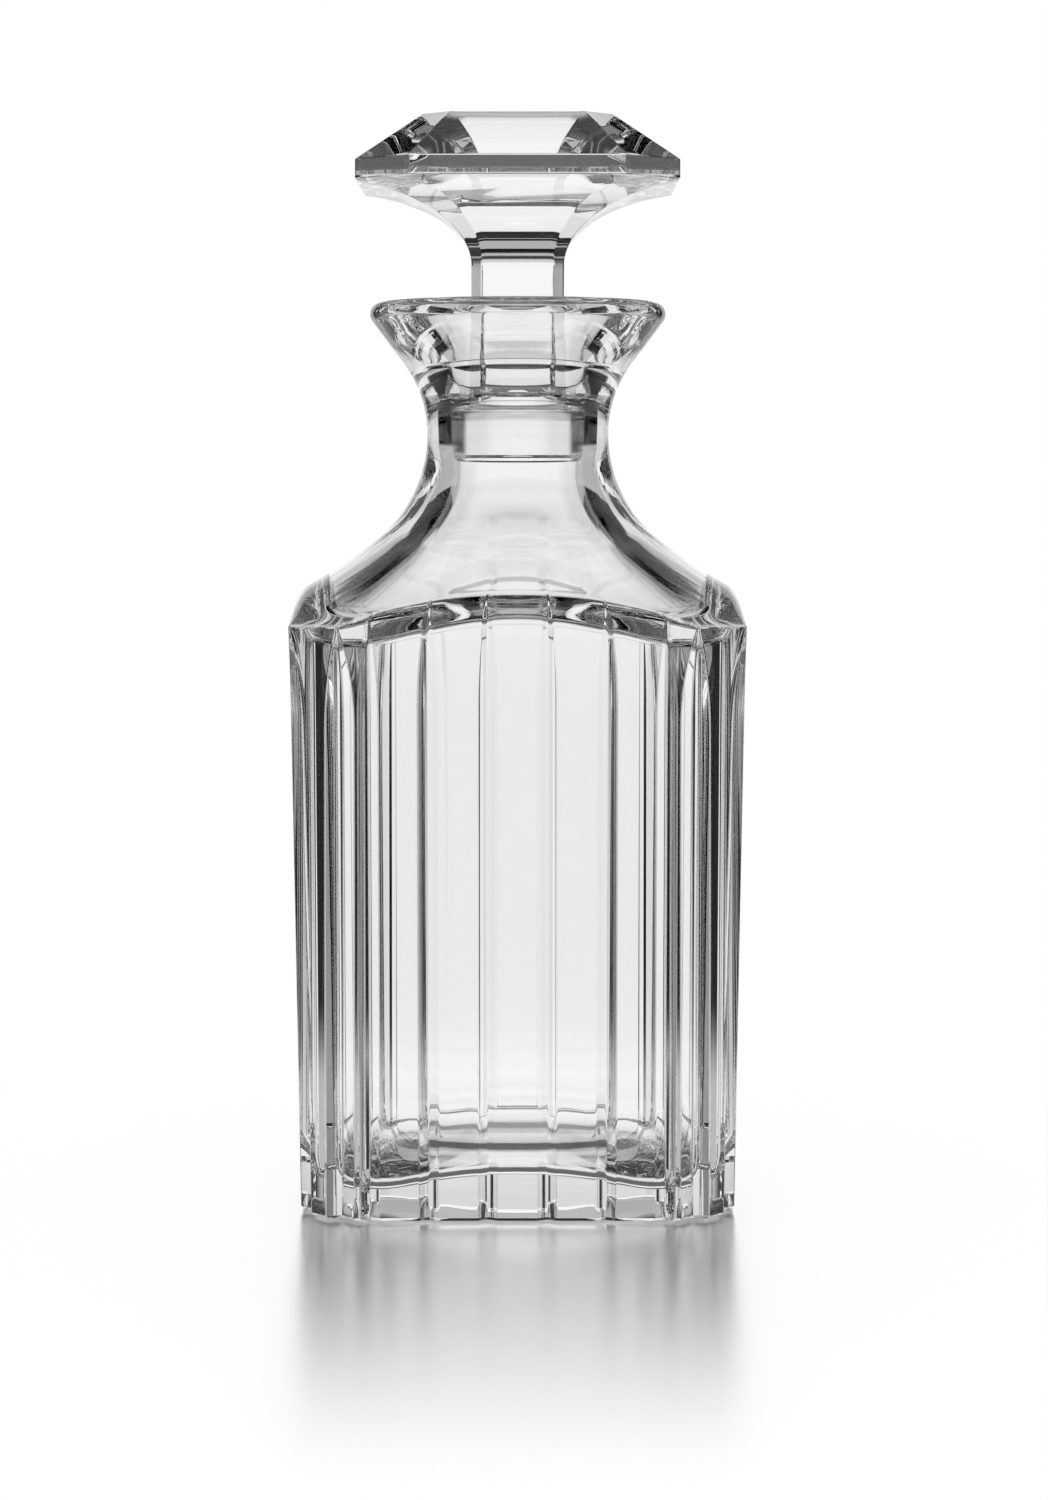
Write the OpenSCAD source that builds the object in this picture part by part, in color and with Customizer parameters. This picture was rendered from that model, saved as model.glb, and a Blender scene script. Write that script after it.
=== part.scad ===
// Square cut crystal decanter with a solid faceted stopper that lifts out of a tapered neck seat.
// Millimetres, +Z up, origin at the centre of the flat base.

/* [Body] */
// Width across the flat faces at the shoulder edge
body_w = 98; // [90:0.5:110]
// Width across the flat faces at the base
base_w = 94; // [88:0.5:98]
// Height of the sharp shoulder edge at the middle of a face
shoulder_h = 133; // [110:0.5:150]
// Leg of the cut on each upright corner, at the shoulder
corner_cut = 11; // [8:0.5:14]
// Leg of that cut at the base
base_corner_cut = 8.4; // [6:0.2:12]
// Glass thickness of the side walls at the base
wall = 7.5; // [5:0.5:10]
// Radius of the upright corners of the hollow
hollow_corner_r = 14; // [8:0.5:20]
// Height of the domed floor of the hollow at its middle
floor_h = 13; // [12:0.5:20]
// Radius of the dome of the hollow's floor
floor_dome_r = 130; // [110:1:200]

/* [Mitre grooves] */
// Number of upright V grooves on each flat face
grooves_per_face = 6; // [2:2:6]
// Spacing of the grooves on a face
groove_pitch = 12.6; // [9:0.1:13]
// Width of a groove at the face
groove_w = 4.2; // [2:0.1:5]
// Depth of a groove
groove_d = 1.1; // [0.5:0.1:1.6]
// Depth of the grooves that run along the cut corners' edges
edge_groove_d = 3; // [1.5:0.1:3.4]
// Length over which a groove runs out below the shoulder edge
groove_runout = 16; // [8:0.5:30]
// Depth that is left of a groove at the shoulder edge
groove_end_d = 0.25; // [0.1:0.05:0.5]

/* [Shoulder and neck] */
// Outside radius of the neck where it is slimmest
neck_r = 20.2; // [18:0.2:24]
// Radius of the sweep from the neck down to the shoulder
neck_sweep_r = 30; // [24:0.5:36]
// Slope of the shoulder where the neck's sweep ends, in degrees
shoulder_slope = 38; // [34:1:42]
// Radius of the long hollow curve of the shoulder
shoulder_curve_r = 115; // [100:1:160]
// Radius of the neck's flare below the lip
flare_r = 26; // [20:0.5:32]
// Angle of the flare from upright, in degrees
flare_angle = 37; // [30:1:45]
// Outside radius of the rolled lip
lip_r = 32.9; // [30:0.1:36]
// Radius of the lip's roll
lip_roll_r = 2.6; // [2:0.1:4]
// Glass thickness of the shoulder, measured upright above the hollow's side walls
shoulder_wall = 10; // [8:0.5:13]
// Length of the plain throat below the plug
throat_len = 2; // [1:0.5:4]
// Radius of the sweep from the throat down to the roof of the hollow
throat_sweep_r = 26; // [24:0.5:32]

/* [Stopper seat] */
// Radius of the stopper's plug at its top
plug_r = 15; // [13.5:0.1:15.5]
// Length of the plug
plug_len = 14.5; // [10:0.5:16]
// Loss of radius per millimetre of plug length
plug_taper = 0.04; // [0.02:0.01:0.06]
// Depth of the plug's top below the lip
plug_depth = 21.5; // [20:0.5:26]
// Radial clearance between plug and seat
plug_clear = 0.2; // [0.1:0.05:0.3]
// Bevel around the plug's polished end
plug_bevel = 0.5; // [0.3:0.1:1]
// Step between the plug's top edge and the hollow curve above it
foot_step = 0.3; // [0.2:0.1:0.6]
// Height of the hollow curve that widens the stem to the plug
foot_h = 6.5; // [4:0.5:10]
// Height of the tapered seat above the plug's top
seat_rise = 1; // [0.5:0.5:3]
// Width of the ledge between the seat and the mouth's wall
ledge_w = 1.5; // [1:0.1:2.5]
// Height of that ledge
ledge_h = 1; // [0.5:0.1:2]
// Height of the mouth's upright wall, between the ledge and the pouring funnel
mouth_h = 8; // [5:0.5:10]

/* [Stopper head] */
// Width across the flats of the stem
stem_w = 20.4; // [17:0.2:21]
// Leg of the cuts on the stem's corners
stem_cut = 2.4; // [1:0.1:4]
// Height of the plain stem above the lip
stem_h = 7.8; // [3:0.2:10]
// Height of the concave sweep under the head
sweep_h = 17.6; // [12:0.2:22]
// Turn of the sweep's curve from the stem to the girdle, in degrees
sweep_turn = 72; // [60:1:85]
// Width across the flats at the girdle
girdle_w = 70; // [60:0.5:80]
// Leg of the cuts on the girdle's corners
girdle_cut = 12; // [8:0.2:18]
// Height of the girdle band
girdle_h = 4.2; // [3:0.2:7]
// Width across the flats of the table
table_w = 41.2; // [34:0.2:50]
// Leg of the cuts on the table's corners
table_cut = 5.8; // [3:0.2:9]
// Height of the crown between girdle and table
crown_h = 10.4; // [7:0.1:15]

/* [Hidden] */
$fn = 96;
glass = [0.86, 0.89, 0.90, 0.55];

// Overlap of cutters past the faces that they cut, and of solids that are joined
over = 2;
// Points along each curve of a profile
curve_steps = 8;

// Body plan
base_half = base_w / 2;
body_half = body_w / 2;
draft = atan((body_half - base_half) / shoulder_h);
face_half = body_half - corner_cut;
corner_half = (body_w - corner_cut) / sqrt(2);
corner_base_half = (base_w - base_corner_cut) / sqrt(2);
corner_draft = atan((corner_half - corner_base_half) / shoulder_h);
hollow_half = base_half - wall;
hollow_reach = (hollow_half - hollow_corner_r) * sqrt(2) + hollow_corner_r;

// Shoulder and neck heights, worked up from the shoulder edge
turn = 90 - shoulder_slope;
sweep_end_r = neck_r + neck_sweep_r * (1 - cos(turn));
function slope_at(r, r0, curve) = asin(sin(shoulder_slope) - (r - r0) / curve);
function drop_at(r, r0, curve) = curve * (cos(slope_at(r, r0, curve)) - cos(shoulder_slope));
sweep_end_z = shoulder_h + drop_at(body_half, sweep_end_r, shoulder_curve_r);
neck_z = sweep_end_z + neck_sweep_r * sin(turn);
flare_end = [neck_r + flare_r * (1 - cos(flare_angle)), neck_z + flare_r * sin(flare_angle)];
roll_x = lip_r - lip_roll_r;
flare_run = (roll_x + lip_roll_r * cos(flare_angle) - flare_end[0]) / sin(flare_angle);
roll_z = flare_end[1] + flare_run * cos(flare_angle) + lip_roll_r * sin(flare_angle);
lip_z = roll_z + lip_roll_r;
corner_reach = sqrt(pow(body_half, 2) + pow(face_half, 2)) + over;
function outside_z(r) = sweep_end_z - drop_at(r, sweep_end_r, shoulder_curve_r);
function edge_z(u) = outside_z(sqrt(pow(body_half, 2) + u * u));

// Plug, seat and hollow
plug_top = lip_z - plug_depth;
plug_bottom = plug_top - plug_len;
plug_end_r = plug_r - plug_taper * plug_len;
seat_top = plug_top + seat_rise;
seat_top_r = plug_r + plug_clear + plug_taper * seat_rise;
mouth_r = seat_top_r + ledge_w;
mouth_z = seat_top + ledge_h + mouth_h;
throat_r = plug_end_r + plug_clear;
throat_z = plug_bottom - throat_len;
roof_r = throat_r + throat_sweep_r * (1 - cos(turn));
roof_z = throat_z - throat_sweep_r * sin(turn);
roof_run = hollow_half - roof_r;
roof_drop = roof_z - outside_z(hollow_half) + shoulder_wall;
roof_end_slope = 2 * atan(roof_drop / roof_run) - shoulder_slope;
roof_curve_r = roof_run / (sin(shoulder_slope) - sin(roof_end_slope));
hollow_edge_r = hollow_reach + over;

// Stopper heights
stem_top = lip_z + stem_h;
girdle_z = stem_top + sweep_h;
crown_z = girdle_z + girdle_h;
table_z = crown_z + crown_h;

// Reach of the large blocks that trim the solids
reach = table_z;

// Points of an arc about a centre, with angles above level, on its right side or its left side
function arc(c, r, a0, a1, side = 1) =
    [for (i = [0:curve_steps]) let (a = a0 + (a1 - a0) * i / curve_steps)
        c + r * [side * cos(a), sin(a)]];

// Points of a long shoulder curve, from its outer radius up to where the neck's sweep begins
function shoulder_curve(r_out, r0, z0, curve) =
    [for (i = [0:curve_steps - 1]) let (r = r_out + (r0 - r_out) * i / curve_steps)
        [r, z0 - drop_at(r, r0, curve)]];

// Outside of the bottle as a turned form, wide enough to hold the body's corners
module turned_outside() {
    shoulder = shoulder_curve(corner_reach, sweep_end_r, sweep_end_z, shoulder_curve_r);
    sweep = arc([neck_r + neck_sweep_r, neck_z], neck_sweep_r, -turn, 0, -1);
    flare = arc([neck_r + flare_r, neck_z], flare_r, 0, flare_angle, -1);
    roll = arc([roll_x, roll_z], lip_roll_r, -flare_angle, 90);
    neck_up = [for (i = [1:len(flare) - 1]) flare[i]];
    rotate_extrude()
        polygon(concat([[0, 0], [corner_reach, 0]], shoulder, sweep, neck_up, roll, [[0, lip_z]]));
}

// Block of glass bounded by one drafted plane
module drafted_block(half, lean) {
    translate([half, 0, 0])
        rotate([0, lean, 0])
            translate([-reach, -reach / 2, -reach])
                cube([reach, reach, 3 * reach]);
}

// Square body with cut corners, drafted towards the base
module square_body() {
    intersection() {
        intersection_for (side = [0:3])
            rotate(90 * side) drafted_block(base_half, draft);
        intersection_for (side = [0:3])
            rotate(90 * side + 45) drafted_block(corner_base_half, corner_draft);
    }
}

// One V groove on the plane x = 0, running up z, with its end run out towards the face
module v_groove(depth, width, top_z) {
    tilt = atan((depth - groove_end_d) / groove_runout);
    far = reach / 4;
    mouth = width / 2 * far / depth;
    section = [[0, 0], [far, -mouth], [far, mouth]];
    translate([-depth, 0, 0])
        intersection() {
            translate([0, 0, -reach / 2])
                linear_extrude(2 * reach) polygon(section);
            translate([0, 0, top_z - groove_runout])
                rotate([0, tilt, 0])
                    translate([0, 0, -reach])
                        linear_extrude(2 * reach) polygon(section);
        }
}

// Grooves on one flat face, and along the two edges that it shares with the cut corners
module face_grooves() {
    first = -(grooves_per_face - 1) / 2 * groove_pitch;
    translate([base_half, 0, 0])
        rotate([0, draft, 0]) {
            for (i = [0:grooves_per_face - 1])
                translate([0, first + i * groove_pitch, 0])
                    v_groove(groove_d, groove_w, edge_z(first + i * groove_pitch));
            for (side = [-1, 1])
                translate([0, side * face_half, 0])
                    rotate(side * 22.5)
                        v_groove(edge_groove_d, edge_groove_d * groove_w / groove_d, edge_z(face_half));
        }
}

// Plan of the hollow: a square with round corners
module hollow_plan() {
    inner = hollow_half - hollow_corner_r;
    square([2 * hollow_half, 2 * inner], center = true);
    square([2 * inner, 2 * hollow_half], center = true);
    for (x = [-inner, inner], y = [-inner, inner])
        translate([x, y]) circle(hollow_corner_r);
}

// Hollow of the body: domed floor, upright walls and an arched roof that leads into the throat
module hollow() {
    function dome(r) = floor_h - floor_dome_r + sqrt(pow(floor_dome_r, 2) - r * r);
    ground = [for (i = [0:curve_steps]) let (r = hollow_edge_r * i / curve_steps) [r, dome(r)]];
    roof = shoulder_curve(hollow_edge_r, roof_r, roof_z, roof_curve_r);
    sweep = arc([throat_r + throat_sweep_r, throat_z], throat_sweep_r, -turn, 0, -1);
    intersection() {
        rotate_extrude()
            polygon(concat(ground, roof, sweep, [[0, throat_z]]));
        linear_extrude(lip_z) hollow_plan();
    }
}

// Tapered seat for the plug, the mouth's wall, and a funnel that runs out to the lip's roll
module seat_and_mouth() {
    away = [roll_x - mouth_r, roll_z - mouth_z];
    slope = atan2(away[1], away[0]) + asin(lip_roll_r / norm(away));
    inner_roll = arc([roll_x, roll_z], lip_roll_r, 90 - slope, 90, -1);
    rotate_extrude()
        polygon(concat(
            [[0, throat_z - over], [throat_r - over, throat_z - over]],
            [[throat_r, throat_z], [throat_r, plug_bottom], [seat_top_r, seat_top]],
            [[mouth_r, seat_top + ledge_h], [mouth_r, mouth_z]],
            inner_roll,
            [[roll_x, lip_z + over], [0, lip_z + over]]
        ));
}

module bottle() {
    color(glass)
        difference() {
            intersection() {
                turned_outside();
                square_body();
            }
            for (side = [0:3]) rotate(90 * side) face_grooves();
            hollow();
            seat_and_mouth();
        }
}

// Prism with the stopper's side outline, as seen along one pair of its flats
module head_prism(stem, girdle, table) {
    low = plug_top - over;
    run = (girdle - stem) / (1 - cos(sweep_turn));
    rise = sweep_h / sin(sweep_turn);
    side = concat(
        [[stem, low]],
        [for (i = [0:curve_steps]) let (a = sweep_turn * i / curve_steps)
            [stem + run * (1 - cos(a)), stem_top + rise * sin(a)]],
        [[girdle, crown_z], [table, table_z]]
    );
    other_side = [for (i = [len(side) - 1:-1:0]) [-side[i][0], side[i][1]]];
    rotate([90, 0, 0])
        linear_extrude(reach, center = true)
            polygon(concat(side, other_side));
}

// The same outline across the cut corners
module corner_prism() {
    function across(w, cut) = (w - cut) / sqrt(2);
    head_prism(
        across(stem_w, stem_cut),
        across(girdle_w, girdle_cut),
        across(table_w, table_cut)
    );
}

// Tapered plug with a bevelled, polished end, and the hollow curve that joins it to the stem
module plug() {
    run = plug_r - stem_w / 2;
    foot = [for (i = [0:curve_steps]) let (a = 90 * i / curve_steps)
        [plug_r - foot_step - run * sin(a), plug_top + foot_h * (1 - cos(a))]];
    rotate_extrude()
        polygon(concat(
            [[0, plug_bottom], [plug_end_r - plug_bevel, plug_bottom]],
            [[plug_end_r + plug_bevel * plug_taper, plug_bottom + plug_bevel], [plug_r, plug_top]],
            foot,
            [[0, plug_top + foot_h]]
        ));
}

module stopper() {
    color(glass) {
        intersection() {
            head_prism(stem_w / 2, girdle_w / 2, table_w / 2);
            rotate(90) head_prism(stem_w / 2, girdle_w / 2, table_w / 2);
            rotate(45) corner_prism();
            rotate(135) corner_prism();
        }
        plug();
    }
}

bottle();
stopper();
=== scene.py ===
import bmesh
import bpy
from math import asin, atan, atan2, cos, hypot, pi, radians, sin, sqrt, tan
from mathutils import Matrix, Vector


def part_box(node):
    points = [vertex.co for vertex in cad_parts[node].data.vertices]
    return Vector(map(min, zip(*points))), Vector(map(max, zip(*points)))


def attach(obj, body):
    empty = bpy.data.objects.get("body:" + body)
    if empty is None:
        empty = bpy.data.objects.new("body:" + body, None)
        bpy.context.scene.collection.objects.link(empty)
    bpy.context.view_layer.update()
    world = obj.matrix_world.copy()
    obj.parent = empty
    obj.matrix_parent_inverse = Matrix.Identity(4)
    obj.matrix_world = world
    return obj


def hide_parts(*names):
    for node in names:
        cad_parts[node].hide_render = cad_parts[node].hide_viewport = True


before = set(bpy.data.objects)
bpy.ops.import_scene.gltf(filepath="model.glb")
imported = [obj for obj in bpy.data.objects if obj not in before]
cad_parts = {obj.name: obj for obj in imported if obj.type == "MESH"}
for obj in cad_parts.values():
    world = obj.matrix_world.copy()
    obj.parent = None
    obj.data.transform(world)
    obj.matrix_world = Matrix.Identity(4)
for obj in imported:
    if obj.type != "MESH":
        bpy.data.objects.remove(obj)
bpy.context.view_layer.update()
mm = 0.001   # the pieces are modelled in millimetres and brought to metres at the end
scene = bpy.context.scene
scene.view_settings.view_transform = "Standard"


# rings: each piece is one closed skin, grown ring by ring from a circle

def ringEdges(bm, ring):
    return [bm.edges.get(pair) for pair in zip(ring, ring[1:] + ring[:1])]


def startRing(bm, points):
    made = bmesh.ops.create_circle(bm, cap_ends=False, segments=len(points), radius=1.0)
    ring = list(made["verts"])
    for vert, point in zip(ring, points):
        vert.co = point
    return ring


def growRing(bm, ring, points):
    column = {vert: i for i, vert in enumerate(ring)}
    made = bmesh.ops.extrude_edge_only(bm, edges=ringEdges(bm, ring))
    grown = [None] * len(ring)
    for vert in [item for item in made["geom"] if isinstance(item, bmesh.types.BMVert)]:
        for edge in vert.link_edges:
            i = column.get(edge.other_vert(vert))
            if i is not None:
                grown[i] = vert
    for vert, point in zip(grown, points):
        vert.co = point
    return grown


def capRing(bm, ring):
    bmesh.ops.edgeloop_fill(bm, edges=ringEdges(bm, ring))


def shares(rows):   # even steps up to 1
    return [row / rows for row in range(1, rows + 1)]


def blendCurve(a, edge, b, t):   # rounds a corner: from a towards edge, then away to b
    return a * (1 - t) ** 2 + edge * (2 * t * (1 - t)) + b * t ** 2


def roundOver(bm, ring, edge, end, rows):   # rounds an edge, from the ring to the points of end
    start = [vert.co.copy() for vert in ring]
    for t in shares(rows):
        ring = growRing(bm, ring, [blendCurve(a, e, b, t) for a, e, b in zip(start, edge, end)])
    return ring


def spread(knots, segments):   # points along a closed outline, with a count for each stretch
    points = []
    for i, count in enumerate(segments):
        a, b = knots[i], knots[(i + 1) % len(knots)]
        points += [a.lerp(b, j / count) for j in range(count)]
    return points


def roundRing(angles, radius, height):
    return [Vector((radius * cos(a), radius * sin(a), height)) for a in angles]


def ringOn(heightAt, angles, radii):   # a ring that lies on a turned surface, with a radius for each column
    return [Vector((r * cos(a), r * sin(a), heightAt(r))) for a, r in zip(angles, radii)]


def sweepPoint(r, z, sweepR, angle):   # radius and height on a hollow sweep, above or below its waist
    return r + sweepR * (1 - cos(angle)), z + sweepR * sin(angle)


def curveDrop(r, r0, curveR, slope0):   # fall of a long hollow curve that starts at r0 with slope0
    slope = asin(sin(slope0) - (r - r0) / curveR)
    return curveR * (cos(slope) - cos(slope0))


def finishPiece(bm, name, sharpAngle):
    bmesh.ops.recalc_face_normals(bm, faces=bm.faces)
    for face in bm.faces:
        face.smooth = True
    for edge in bm.edges:
        edge.smooth = edge.calc_face_angle(0.0) < sharpAngle
    bmesh.ops.scale(bm, vec=(mm, mm, mm), verts=bm.verts)
    mesh = bpy.data.meshes.new(name)
    bm.to_mesh(mesh)
    bm.free()
    piece = bpy.data.objects.new(name, mesh)
    scene.collection.objects.link(piece)
    print("modelled", name, len(mesh.polygons), "faces")
    return piece


# bottle, in millimetres

bottleLow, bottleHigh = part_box("bottle")
bottleSet = {
    "bodyHalf": bottleHigh[0] / mm,    # half width at the shoulder edge
    "lipTop": bottleHigh[2] / mm,
    "baseHalf": 47.0,                  # half width at the base
    "footShare": 0.55,                 # size of the plain middle of the underside, against the base
    "shoulderEdge": 133.0,             # height of the shoulder edge at the middle of a face
    "cornerCut": 11.0,                 # leg of the corner cut at the shoulder
    "baseCornerCut": 8.4,              # and at the base
    "edgeIn": 3.2,                     # softening of the shoulder edge, drawn in over the shoulder
    "edgeDownMiddle": 2.8,             # and down the face, at its middle
    "edgeDownCorner": 1.0,             # and at the corners
    "baseBevel": 0.7,
    "grooves": 6,                      # on each face, besides one at each of its ends
    "groovePitch": 12.6,
    "grooveWidth": 4.2,
    "grooveDepth": 1.1,
    "cornerGrooveDepth": 3.2,
    "grooveEnd": 0.2,                  # depth left at the shoulder edge
    "grooveRunout": 22.0,
    "cutRound": 0.3,                   # polish on the edges of the cuts
    "cutRoundShare": 0.3,              # and at most this share of a flank
    "neckR": 20.2,
    "neckSweepR": 30.0,
    "shoulderSlope": radians(38),      # where the neck's sweep meets the shoulder
    "shoulderCurveR": 115.0,
    "flareR": 26.0,
    "flareAngle": radians(37),
    "lipR": 32.9,
    "rollR": 2.6,                      # rolled edge of the lip
    "seatTopR": 15.24,
    "throatR": 14.62,
    "seatDepth": 20.5,
    "seatLength": 15.5,
    "throatLength": 2.0,
    "ledgeWidth": 1.5,                 # sloping ledge above the seat
    "ledgeHeight": 1.0,
    "mouthWall": 8.0,                  # upright wall of the mouth above the ledge
    "mouthRound": 1.0,
    "throatSweepR": 26.0,
    "shoulderWall": 10.0,              # glass between the hollow's roof and the shoulder
    "hollowHalf": 39.5,
    "hollowCornerR": 14.0,
    "roofRound": 1.5,
    "floorRound": 8.0,
    "floorHeight": 13.0,
    "floorDomeR": 130.0,
    "floorMiddleR": 1.5,               # last ring, at the top of the dome
    "sharpAngle": radians(32),
    "cutSteps": 3,                     # steps along half a corner cut
    "endLandSteps": 2,                 # along the land at either end of a face
    "landSteps": 5,                    # and along the lands between grooves
    "faceRows": 3,
    "runoutRows": 12,
    "roundRows": 9,
    "shoulderRows": 14,
    "arcRows": 16,
    "rollRows": 20,
    "dishRows": 6,
    "mouthRows": 5,
    "roofRows": 10,
    "floorRows": 10,
}


def sweepEndR(s):   # radius at which the shoulder meets the neck's sweep
    return s["neckR"] + s["neckSweepR"] * (1 - cos(pi / 2 - s["shoulderSlope"]))


def shoulderHeight(s, r):
    curve = sweepEndR(s), s["shoulderCurveR"], s["shoulderSlope"]
    return s["shoulderEdge"] + curveDrop(s["bodyHalf"], *curve) - curveDrop(r, *curve)


def cutKnots(s):   # along one side of the cut body: a rule for each knot's place, its top and its softening
    def half(z):
        return s["baseHalf"] + (s["bodyHalf"] - s["baseHalf"]) * z / s["shoulderEdge"]

    def cornerLeg(z):
        return s["baseCornerCut"] + (s["cornerCut"] - s["baseCornerCut"]) * z / s["shoulderEdge"]

    def runoutDepth(full, z, top):
        t = min(max((z - top + s["grooveRunout"]) / s["grooveRunout"], 0.0), 1.0)
        return full - (full - s["grooveEnd"]) * t * t

    def edgeDown(sideways):
        share = min(abs(sideways) / (s["bodyHalf"] - s["cornerCut"]), 1.0) ** 2
        return s["edgeDownMiddle"] + (s["edgeDownCorner"] - s["edgeDownMiddle"]) * share

    def faceGroove(centre, lip):   # lip: -1 and 1 at the groove's edges, 0 at its bottom
        top = shoulderHeight(s, hypot(s["bodyHalf"], centre))

        def place(z):
            depth = runoutDepth(s["grooveDepth"], z, top)
            sideways = centre + lip * s["grooveWidth"] / 2 * depth / s["grooveDepth"]
            return Vector((half(z) - (depth if lip == 0 else 0.0), sideways, z))
        return place, top, edgeDown(centre)

    cornerTop = shoulderHeight(s, hypot(s["bodyHalf"], s["bodyHalf"] - s["cornerCut"]))
    lipShare = (1 / cos(pi / 8)) / (tan(pi / 8) + 2 * s["grooveDepth"] / s["grooveWidth"])

    def cornerGroove(side, lip):   # lip: 1 on the flat face, 0 at the bottom, -1 on the corner cut
        def place(z):
            depth = runoutDepth(s["cornerGrooveDepth"], z, cornerTop)
            edge = Vector((half(z), side * (half(z) - cornerLeg(z)), z))
            if lip == 0:
                return edge - depth * Vector((cos(pi / 8), side * sin(pi / 8), 0.0))
            if lip == 1:
                return edge - depth * lipShare * Vector((0.0, side, 0.0))
            return edge + depth * lipShare * Vector((-sqrt(0.5), side * sqrt(0.5), 0.0))
        return place, cornerTop, s["edgeDownCorner"]

    def cutMiddle(z):
        reach = half(z) - cornerLeg(z) / 2
        return Vector((reach, -reach, z))

    knots = [(cutMiddle, cornerTop, s["edgeDownCorner"])]
    knots += [cornerGroove(-1, lip) for lip in (-1, 0, 1)]
    for i in range(s["grooves"]):
        centre = (i - (s["grooves"] - 1) / 2) * s["groovePitch"]
        knots += [faceGroove(centre, lip) for lip in (-1, 0, 1)]
    return knots + [cornerGroove(1, lip) for lip in (1, 0, -1)]


def cutOutline(s):   # gives a rule for outlines around the whole cut body
    knotsOfSide = cutKnots(s)
    flanks = [1, 1]
    steps = [s["cutSteps"]] + flanks
    for land in [s["endLandSteps"]] + [s["landSteps"]] * (s["grooves"] - 1) + [s["endLandSteps"]]:
        steps += [land] + flanks
    steps.append(s["cutSteps"])

    def outline(heightOf):   # heightOf gives a knot's height from its top and its softening
        knots = []
        for side in range(4):
            c, w = cos(side * pi / 2), sin(side * pi / 2)
            for place, top, down in knotsOfSide:
                p = place(heightOf(top, down))
                knots.append(Vector((p.x * c - p.y * w, p.x * w + p.y * c, p.z)))
        points, segments = [], []
        for i, knot in enumerate(knots):
            before, after = knots[i - 1] - knot, knots[(i + 1) % len(knots)] - knot
            column = i % len(knotsOfSide)
            if column == 0:
                points.append(knot)
            else:
                cut = min(s["cutRound"], s["cutRoundShare"] * min(before.length, after.length))
                first, last = knot + before.normalized() * cut, knot + after.normalized() * cut
                points += [first, blendCurve(first, knot, last, 0.5), last]
                segments += flanks
            segments.append(steps[column])
        return spread(points, segments)
    return outline


def growBody(bm, s, outline):   # underside, then the cut faces up to the soft shoulder edge
    bevel, runout = s["baseBevel"], s["grooveRunout"]
    foot = outline(lambda top, down: 0.0)
    inset = 1 - bevel / s["baseHalf"]
    ring = startRing(bm, [p * s["footShare"] for p in foot])
    capRing(bm, ring)
    ring = growRing(bm, ring, [p * inset for p in foot])
    ring = growRing(bm, ring, outline(lambda top, down: bevel))
    for t in shares(s["faceRows"]):
        ring = growRing(bm, ring, outline(lambda top, down: bevel + (top - runout - bevel) * t))
    for t in shares(s["runoutRows"]):
        ring = growRing(bm, ring, outline(lambda top, down: top - runout + (runout - down) * t))
    return ring


def growShoulder(bm, ring, s, outline):   # soft shoulder edge, then the shoulder drawn in to the round neck
    def shoulderZ(r):
        return shoulderHeight(s, r)

    edge = outline(lambda top, down: top)
    for p in edge:
        p.z = shoulderZ(hypot(p.x, p.y))
    angles = [atan2(p.y, p.x) for p in edge]
    inside = [hypot(p.x, p.y) - s["edgeIn"] for p in edge]
    endR = sweepEndR(s)
    ring = roundOver(bm, ring, edge, ringOn(shoulderZ, angles, inside), s["roundRows"])
    for t in shares(s["shoulderRows"]):
        ring = growRing(bm, ring, ringOn(shoulderZ, angles, [r * (1 - t) + endR * t for r in inside]))
    return ring, angles


def throatHeight(s):   # height at which the throat starts to widen into the hollow
    return s["lipTop"] - s["seatDepth"] - s["seatLength"] - s["throatLength"]


def neckProfile(s):   # radii and heights of the round stretches, from the neck over the lip to the hollow
    turn = pi / 2 - s["shoulderSlope"]
    neckZ = shoulderHeight(s, sweepEndR(s)) + s["neckSweepR"] * sin(turn)
    arc = shares(s["arcRows"])
    profile = [sweepPoint(s["neckR"], neckZ, s["neckSweepR"], -turn * (1 - t)) for t in arc]
    profile += [sweepPoint(s["neckR"], neckZ, s["flareR"], s["flareAngle"] * t) for t in arc]

    # rolled lip, then the shallow dish inside it, which runs from the roll to the mouth's edge
    seatTop = s["lipTop"] - s["seatDepth"]
    rollX, rollZ = s["lipR"] - s["rollR"], s["lipTop"] - s["rollR"]
    ledgeTop = Vector((s["seatTopR"] + s["ledgeWidth"], seatTop + s["ledgeHeight"]))
    mouthEdge = Vector((ledgeTop.x, ledgeTop.y + s["mouthWall"]))
    rollAway = Vector((rollX, rollZ)) - mouthEdge
    dishSlope = atan2(rollAway.y, rollAway.x) + asin(s["rollR"] / rollAway.length)
    rollTurn = pi / 2 + s["flareAngle"] + dishSlope
    for t in [0.0] + shares(s["rollRows"]):
        a = -s["flareAngle"] + rollTurn * t
        profile.append((rollX + s["rollR"] * cos(a), rollZ + s["rollR"] * sin(a)))
    dishTop = Vector(profile[-1])
    dishEnd = mouthEdge + (dishTop - mouthEdge).normalized() * s["mouthRound"]
    wallTop = mouthEdge - Vector((0.0, s["mouthRound"]))
    profile += [tuple(dishTop.lerp(dishEnd, t)) for t in shares(s["dishRows"])]
    profile += [tuple(blendCurve(dishEnd, mouthEdge, wallTop, t)) for t in shares(s["mouthRows"])]

    # ledge, tapered seat and throat
    throatZ = throatHeight(s)
    profile += [
        tuple(ledgeTop), (s["seatTopR"], seatTop),
        (s["throatR"], seatTop - s["seatLength"]), (s["throatR"], throatZ)]
    return profile + [sweepPoint(s["throatR"], throatZ, s["throatSweepR"], -turn * t) for t in arc]


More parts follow.
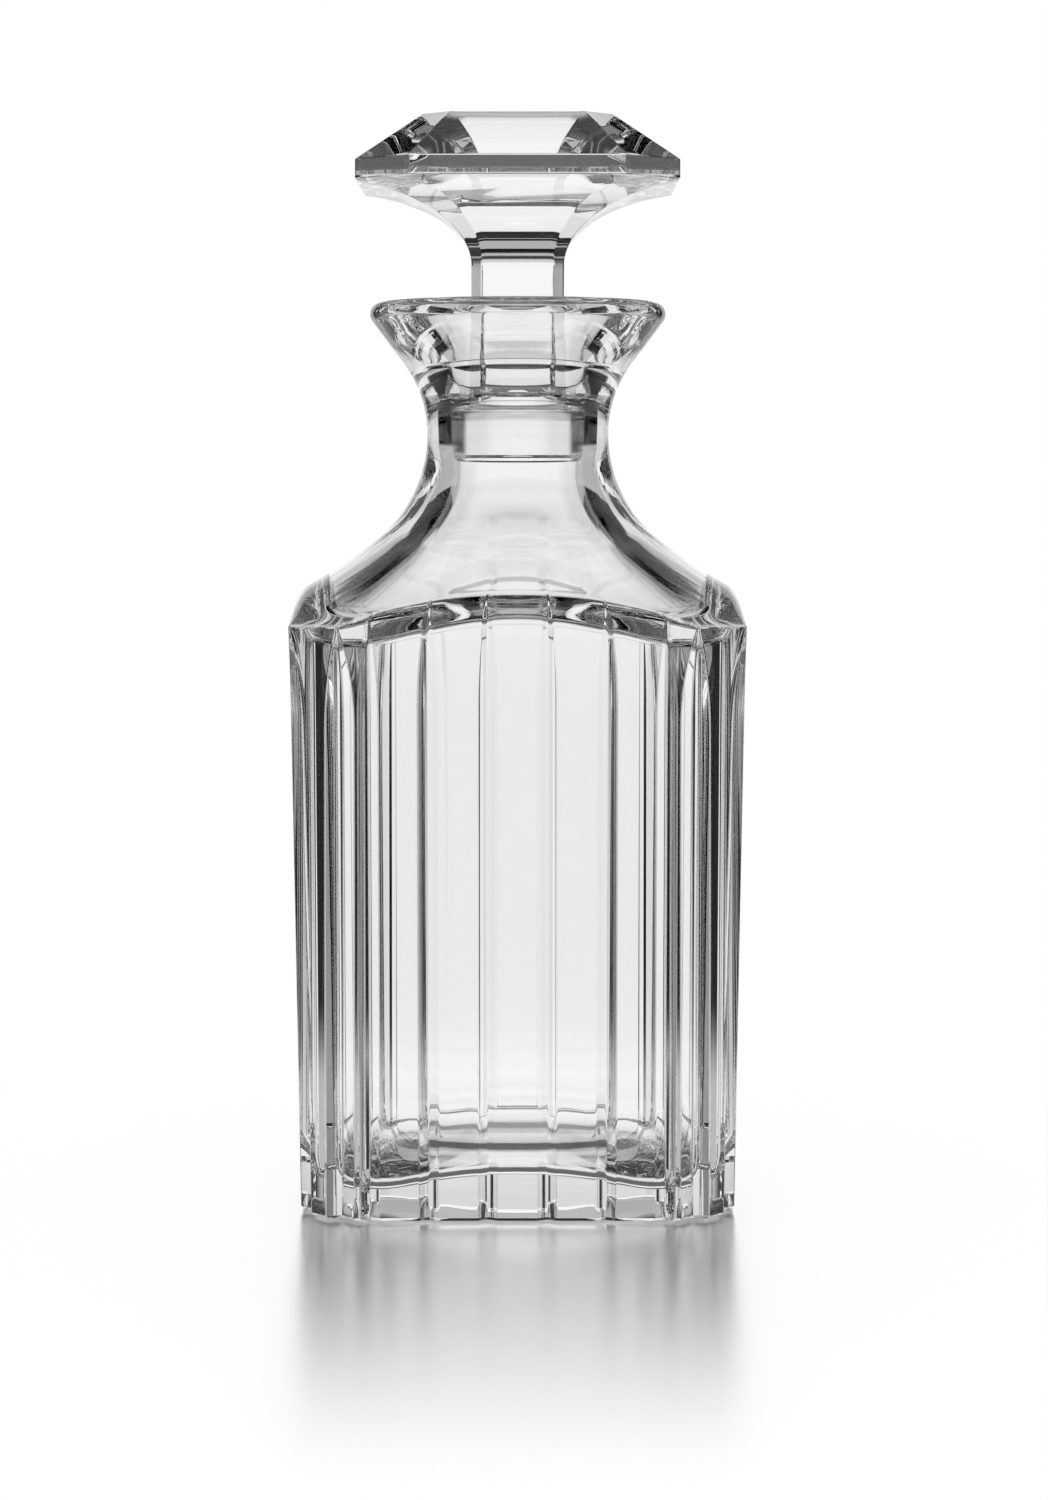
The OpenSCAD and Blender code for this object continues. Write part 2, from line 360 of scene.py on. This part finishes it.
def hollowReach(s, angle):   # distance of the hollow's upright wall, with its round corners
    a = abs((angle + pi / 4) % (pi / 2) - pi / 4)
    straight = s["hollowHalf"] - s["hollowCornerR"]
    if s["hollowHalf"] * tan(a) <= straight:
        return s["hollowHalf"] / cos(a)
    b = straight * (cos(a) + sin(a))
    return b + sqrt(b * b - 2 * straight ** 2 + s["hollowCornerR"] ** 2)


def growHollow(bm, ring, s, angles):   # roof, upright walls and domed floor
    slope = s["shoulderSlope"]
    roofR, roofZ = sweepPoint(s["throatR"], throatHeight(s), s["throatSweepR"], slope - pi / 2)
    roofRun = s["hollowHalf"] - roofR
    roofDrop = roofZ - shoulderHeight(s, s["hollowHalf"]) + s["shoulderWall"]
    roofCurveR = roofRun / (sin(slope) - sin(2 * atan(roofDrop / roofRun) - slope))

    def hollowRoofZ(r):
        return roofZ - curveDrop(r, roofR, roofCurveR, slope)

    def floorZ(r):
        return s["floorHeight"] - s["floorDomeR"] + sqrt(s["floorDomeR"] ** 2 - r * r)

    walls = [hollowReach(s, a) for a in angles]
    roofEnd = [r - s["roofRound"] for r in walls]
    for t in shares(s["roofRows"]):
        ring = growRing(bm, ring, ringOn(hollowRoofZ, angles, [roofR * (1 - t) + r * t for r in roofEnd]))
    edge = ringOn(hollowRoofZ, angles, walls)
    wallTop = [p - Vector((0.0, 0.0, s["roofRound"])) for p in edge]
    ring = roundOver(bm, ring, edge, wallTop, s["roundRows"])

    edge = ringOn(floorZ, angles, walls)
    floorEnd = [r - s["floorRound"] for r in walls]
    ring = growRing(bm, ring, [p + Vector((0.0, 0.0, s["floorRound"])) for p in edge])
    ring = roundOver(bm, ring, edge, ringOn(floorZ, angles, floorEnd), s["roundRows"])
    for t in shares(s["floorRows"]):
        radii = [r * (1 - t) + s["floorMiddleR"] * t for r in floorEnd]
        ring = growRing(bm, ring, ringOn(floorZ, angles, radii))
    capRing(bm, ring)


def makeBottle(s):
    outline = cutOutline(s)
    bm = bmesh.new()
    ring = growBody(bm, s, outline)
    ring, angles = growShoulder(bm, ring, s, outline)
    for r, z in neckProfile(s):
        ring = growRing(bm, ring, roundRing(angles, r, z))
    growHollow(bm, ring, s, angles)
    return finishPiece(bm, "crystalBottle", s["sharpAngle"])


# stopper, in millimetres

stopperLow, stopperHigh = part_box("stopper")
stopperSet = {
    "tableZ": stopperHigh[2] / mm,
    "girdleHalf": stopperHigh[0] / mm,
    "plugEnd": stopperLow[2] / mm,
    "tableHalf": 20.6,
    "tableCut": 5.8,                   # leg of the cut corners of the table
    "crownHeight": 10.4,
    "girdleCut": 12.0,
    "girdleHeight": 4.2,
    "sweepHeight": 17.6,
    "sweepTurn": radians(72),          # turn of the hollow sweep from stem to girdle
    "stemHalf": 10.2,
    "stemCut": 2.4,
    "plugR": 15.0,
    "plugLength": 14.5,
    "plugTaper": 0.04,                 # loss of radius along the plug
    "plugBevel": 0.5,
    "footStep": 0.3,                   # narrow ledge left around the foot, on top of the plug
    "footHeight": 6.5,                 # hollow curve that widens the stem to the plug
    "edgeBevel": 0.22,                 # polished edge between two facets
    "facetAngle": radians(20),         # where they meet at more than this
    "sharpAngle": radians(14),
    "sideSteps": 12,
    "cutSteps": 6,
    "sweepRows": 28,
    "footRows": 14,
}


def octagon(s, flat, across, z):   # half widths across the flats and across the cut corners
    near = across * sqrt(2) - flat
    knots = []
    for side in range(4):
        c, w = cos(side * pi / 2), sin(side * pi / 2)
        for u in (-near, near):
            knots.append(Vector((flat * c - u * w, flat * w + u * c, z)))
    return spread(knots, [s["sideSteps"], s["cutSteps"]] * 4)


def acrossCut(flat, cut):
    return (2 * flat - cut) / sqrt(2)


def growHead(bm, s, stemTop, stemAcross):   # table, crown, girdle and the hollow sweep down to the stem
    crownZ = s["tableZ"] - s["crownHeight"]
    girdleAcross = acrossCut(s["girdleHalf"], s["girdleCut"])
    ring = startRing(bm, octagon(s, s["tableHalf"], acrossCut(s["tableHalf"], s["tableCut"]), s["tableZ"]))
    capRing(bm, ring)
    for z in (crownZ, crownZ - s["girdleHeight"]):
        ring = growRing(bm, ring, octagon(s, s["girdleHalf"], girdleAcross, z))
    for t in shares(s["sweepRows"]):
        a = s["sweepTurn"] * (1 - t)
        share = (1 - cos(a)) / (1 - cos(s["sweepTurn"]))
        ring = growRing(bm, ring, octagon(
            s, s["stemHalf"] + (s["girdleHalf"] - s["stemHalf"]) * share,
            stemAcross + (girdleAcross - stemAcross) * share,
            stemTop + s["sweepHeight"] * sin(a) / sin(s["sweepTurn"])))
    return ring


def growPlug(bm, ring, s, stemAcross):   # stem, the turned hollow curve at its foot, then the tapered plug
    stem = octagon(s, s["stemHalf"], stemAcross, 0.0)
    angles = [atan2(p.y, p.x) for p in stem]
    plugTop = s["plugEnd"] + s["plugLength"]
    footR = s["plugR"] - s["footStep"]
    footRun = s["plugR"] - s["stemHalf"]
    meet = [asin(min((footR - hypot(p.x, p.y)) / footRun, 1.0)) for p in stem]   # where it meets the stem
    for t in [0.0] + shares(s["footRows"]):
        points = []
        for angle, start in zip(angles, meet):
            a = start * (1 - t)
            r = footR - footRun * sin(a)
            z = plugTop + s["footHeight"] * (1 - cos(a))
            points.append(Vector((r * cos(angle), r * sin(angle), z)))
        ring = growRing(bm, ring, points)
    endR = s["plugR"] - s["plugTaper"] * s["plugLength"]
    bevelR = endR + s["plugTaper"] * s["plugBevel"]
    bevelZ = s["plugEnd"] + s["plugBevel"]
    for r, z in ((s["plugR"], plugTop), (bevelR, bevelZ), (endR - s["plugBevel"], s["plugEnd"])):
        ring = growRing(bm, ring, roundRing(angles, r, z))
    capRing(bm, ring)


def makeStopper(s):
    stemTop = s["tableZ"] - s["crownHeight"] - s["girdleHeight"] - s["sweepHeight"]
    stemAcross = acrossCut(s["stemHalf"], s["stemCut"])
    bm = bmesh.new()
    ring = growHead(bm, s, stemTop, stemAcross)
    growPlug(bm, ring, s, stemAcross)
    bmesh.ops.recalc_face_normals(bm, faces=bm.faces)
    bm.normal_update()
    bevelFrom = stemTop + s["edgeBevel"]
    facetEdges = [
        edge for edge in bm.edges
        if edge.calc_face_angle(0.0) > s["facetAngle"] and max(v.co.z for v in edge.verts) > bevelFrom]
    bmesh.ops.bevel(
        bm, geom=facetEdges, offset=s["edgeBevel"], offset_type="OFFSET", segments=2,
        profile=0.5, affect="EDGES", material=-1, clamp_overlap=True)
    return finishPiece(bm, "crystalStopper", s["sharpAngle"])


# polished crystal

crystalSet = {
    "tint": (1.0, 1.0, 1.0, 1.0),
    "ior": 1.545,
    "roughness": 0.0,
    "waveScale": 60.0,                 # slow waves left by fire polishing
    "waveStrength": 0.012,
    "waveHeight": 0.001,
}


def makeCrystal(name, s):
    material = bpy.data.materials.new(name)
    material.use_nodes = True
    nodes, links = material.node_tree.nodes, material.node_tree.links
    shader = nodes["Principled BSDF"]
    shader.inputs["Base Color"].default_value = s["tint"]
    shader.inputs["Metallic"].default_value = 0.0
    shader.inputs["Roughness"].default_value = s["roughness"]
    shader.inputs["IOR"].default_value = s["ior"]
    shader.inputs["Transmission Weight"].default_value = 1.0
    coords = nodes.new("ShaderNodeTexCoord")
    wave = nodes.new("ShaderNodeTexNoise")
    wave.inputs["Scale"].default_value = s["waveScale"]
    wave.inputs["Detail"].default_value = 1.0
    bump = nodes.new("ShaderNodeBump")
    bump.inputs["Strength"].default_value = s["waveStrength"]
    bump.inputs["Distance"].default_value = s["waveHeight"]
    links.new(coords.outputs["Object"], wave.inputs["Vector"])
    links.new(wave.outputs["Fac"], bump.inputs["Height"])
    links.new(bump.outputs["Normal"], shader.inputs["Normal"])
    return material


bottle = makeBottle(bottleSet)
bottle.data.materials.append(makeCrystal("bottleCrystal", crystalSet))
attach(bottle, "bottle")
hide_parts("bottle")

stopper = makeStopper(stopperSet)
stopper.data.materials.append(makeCrystal("stopperCrystal", crystalSet))
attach(stopper, "stopper")
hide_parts("stopper")


# floor: a pale glossy sheet that turns to plain white away from the object

floorSet = {
    "radius": 0.45,
    "segments": 96,
    "gap": 0.0005,                     # air left under the base, so the base keeps its own mirror
    "tint": (1.0, 1.0, 1.0, 1.0),
    "gloss": 0.95,
    "glossRoughness": 0.24,
    "whiteFrom": 0.08,                 # the sheet turns to plain white between these distances
    "whiteTo": 0.24,
}


def makeFloor(s):
    bm = bmesh.new()
    bmesh.ops.create_circle(bm, cap_ends=True, segments=s["segments"], radius=s["radius"])
    bmesh.ops.translate(bm, vec=(0.0, 0.0, -s["gap"]), verts=bm.verts)
    mesh = bpy.data.meshes.new("floor")
    bm.to_mesh(mesh)
    bm.free()
    floor = bpy.data.objects.new("floor", mesh)
    scene.collection.objects.link(floor)
    material = bpy.data.materials.new("floorSheet")
    material.use_nodes = True
    nodes, links = material.node_tree.nodes, material.node_tree.links
    nodes.remove(nodes["Principled BSDF"])
    out = nodes["Material Output"]
    diffuse = nodes.new("ShaderNodeBsdfDiffuse")
    diffuse.inputs["Color"].default_value = s["tint"]
    glossy = nodes.new("ShaderNodeBsdfGlossy")
    glossy.inputs["Color"].default_value = s["tint"]
    glossy.inputs["Roughness"].default_value = s["glossRoughness"]
    sheet = nodes.new("ShaderNodeMixShader")
    sheet.inputs["Fac"].default_value = s["gloss"]
    white = nodes.new("ShaderNodeEmission")
    coords = nodes.new("ShaderNodeTexCoord")
    distance = nodes.new("ShaderNodeVectorMath")
    distance.operation = "LENGTH"
    fade = nodes.new("ShaderNodeMapRange")
    fade.interpolation_type = "SMOOTHSTEP"
    fade.inputs["From Min"].default_value = s["whiteFrom"]
    fade.inputs["From Max"].default_value = s["whiteTo"]
    mix = nodes.new("ShaderNodeMixShader")
    links.new(diffuse.outputs[0], sheet.inputs[1])
    links.new(glossy.outputs[0], sheet.inputs[2])
    links.new(coords.outputs["Object"], distance.inputs[0])
    links.new(distance.outputs["Value"], fade.inputs["Value"])
    links.new(fade.outputs["Result"], mix.inputs["Fac"])
    links.new(sheet.outputs[0], mix.inputs[1])
    links.new(white.outputs[0], mix.inputs[2])
    links.new(mix.outputs[0], out.inputs["Surface"])
    mesh.materials.append(material)
    floor.visible_transmission = False   # the crystal shows the pale ground of the studio instead
    floor.visible_glossy = False
    print("laid the floor")


makeFloor(floorSet)


# studio: white all round; the crystal sees a bright backdrop, dimmer panels around it and dark gaps

studioSet = {
    "back": 0.98,                      # backdrop behind the object, as the photograph sees it
    "backFull": radians(25),           # it ends between these angles from its middle
    "backEnd": radians(30),
    "backTopFrom": radians(16.5),      # and between these heights at its top
    "backTopTo": radians(21),
    "backFootFrom": radians(-50),      # and at its foot
    "backFootTo": radians(-66),
    "dim": 0.86,                       # share of it that is left beside its middle
    "dimFrom": radians(9),
    "dimTo": radians(16),
    "haze": 0.65,                      # share of it that is left in its upper part
    "hazeFrom": radians(10),
    "hazeTo": radians(13.5),
    "side": 0.3,                       # one panel on each side
    "sideMiddle": radians(88),
    "sideFull": radians(5),
    "sideEnd": radians(14),
    "sideTop": radians(15),
    "sideFoot": radians(-21),
    "sideSoft": radians(10),
    "front": 1.0,                      # a high panel on the photographer's side
    "frontFrom": radians(98),
    "frontTo": radians(111),
    "frontFoot": radians(5),
    "frontTop": radians(38),
    "frontSoft": radians(4),
    "top": 0.45,                       # a panel overhead, behind the object
    "topFull": radians(34),
    "topEnd": radians(60),
    "topFrom": radians(38),
    "topTo": radians(46),
    "ground": 0.5,                     # the pale floor, as the crystal sees it
    "groundFrom": radians(-9.5),
    "groundTo": radians(-12.5),
    "deep": 0.22,                      # share of it straight below, in the shade of the object
    "deepFrom": radians(-29),
    "deepTo": radians(-44),
}


def makeStudio(s):
    world = bpy.data.worlds.new("studio")
    scene.world = world
    world.use_nodes = True
    nodes, links = world.node_tree.nodes, world.node_tree.links
    background = nodes["Background"]

    def mathNode(operation, a, b=None):
        node = nodes.new("ShaderNodeMath")
        node.operation = operation
        for slot, value in enumerate((a, b)):
            if isinstance(value, (int, float)):
                node.inputs[slot].default_value = value
            elif value is not None:
                links.new(value, node.inputs[slot])
        return node.outputs[0]

    def ramp(value, start, end, low, high):
        node = nodes.new("ShaderNodeMapRange")
        node.interpolation_type = "SMOOTHSTEP"
        for name, number in (("From Min", start), ("From Max", end), ("To Min", low), ("To Max", high)):
            node.inputs[name].default_value = number
        links.new(value, node.inputs["Value"])
        return node.outputs["Result"]

    def between(value, low, high, soft):   # 1 between two angles, with soft ends
        return mathNode(
            "MULTIPLY", ramp(value, low - soft, low + soft, 0.0, 1.0),
            ramp(value, high - soft, high + soft, 1.0, 0.0))

    coords = nodes.new("ShaderNodeTexCoord")
    split = nodes.new("ShaderNodeSeparateXYZ")
    links.new(coords.outputs["Generated"], split.inputs[0])
    turn = mathNode("ARCTAN2", mathNode("ABSOLUTE", split.outputs["X"]), split.outputs["Y"])
    rise = mathNode("ARCSINE", split.outputs["Z"])
    fall = mathNode("MULTIPLY", rise, -1.0)
    backHeight = mathNode(
        "MULTIPLY", ramp(rise, s["backTopFrom"], s["backTopTo"], 1.0, 0.0),
        ramp(fall, -s["backFootFrom"], -s["backFootTo"], 1.0, 0.0))
    backHeight = mathNode("MULTIPLY", backHeight, ramp(rise, s["hazeFrom"], s["hazeTo"], 1.0, s["haze"]))
    backWidth = mathNode(
        "MULTIPLY", ramp(turn, s["backFull"], s["backEnd"], s["back"], 0.0),
        ramp(turn, s["dimFrom"], s["dimTo"], 1.0, s["dim"]))
    back = mathNode("MULTIPLY", backWidth, backHeight)
    offSide = mathNode("ABSOLUTE", mathNode("SUBTRACT", turn, s["sideMiddle"]))
    side = mathNode(
        "MULTIPLY", ramp(offSide, s["sideFull"], s["sideEnd"], s["side"], 0.0),
        between(rise, s["sideFoot"], s["sideTop"], s["sideSoft"]))
    front = mathNode(
        "MULTIPLY", ramp(turn, s["frontFrom"], s["frontTo"], 0.0, s["front"]),
        between(rise, s["frontFoot"], s["frontTop"], s["frontSoft"]))
    top = mathNode(
        "MULTIPLY", ramp(turn, s["topFull"], s["topEnd"], s["top"], 0.0),
        ramp(rise, s["topFrom"], s["topTo"], 0.0, 1.0))
    ground = mathNode(
        "MULTIPLY", ramp(fall, -s["groundFrom"], -s["groundTo"], 0.0, s["ground"]),
        ramp(fall, -s["deepFrom"], -s["deepTo"], 1.0, s["deep"]))
    seen = back
    for part in (side, front, top, ground):
        seen = mathNode("MAXIMUM", seen, part)
    path = nodes.new("ShaderNodeLightPath")
    byCrystal = mathNode("MAXIMUM", path.outputs["Is Singular Ray"], path.outputs["Is Transmission Ray"])
    plain = mathNode("SUBTRACT", 1.0, byCrystal)
    links.new(mathNode("ADD", plain, mathNode("MULTIPLY", seen, byCrystal)), background.inputs["Strength"])
    background.inputs["Color"].default_value = (1.0, 1.0, 1.0, 1.0)
    print("lit the studio")


makeStudio(studioSet)
scene.cycles.max_bounces = 32          # light passes many walls of crystal
scene.cycles.transmission_bounces = 32
scene.cycles.glossy_bounces = 16


# camera

cameraSet = {
    "place": (0.00137, -0.750, 0.160),
    "pitchDown": radians(4.8),
    "focalPixels": 3345.6,
    "imageHeight": 1500,
    "sensorHeight": 36.0,
    "clipStart": 0.01,
}


def makeCamera(s):
    data = bpy.data.cameras.new("camera")
    data.sensor_fit = "VERTICAL"
    data.sensor_height = s["sensorHeight"]
    data.lens = s["sensorHeight"] * s["focalPixels"] / s["imageHeight"]
    data.clip_start = s["clipStart"]
    camera = bpy.data.objects.new("camera", data)
    camera.location = s["place"]
    camera.rotation_euler = (pi / 2 - s["pitchDown"], 0.0, 0.0)
    scene.collection.objects.link(camera)
    scene.camera = camera
    print("placed the camera")


makeCamera(cameraSet)
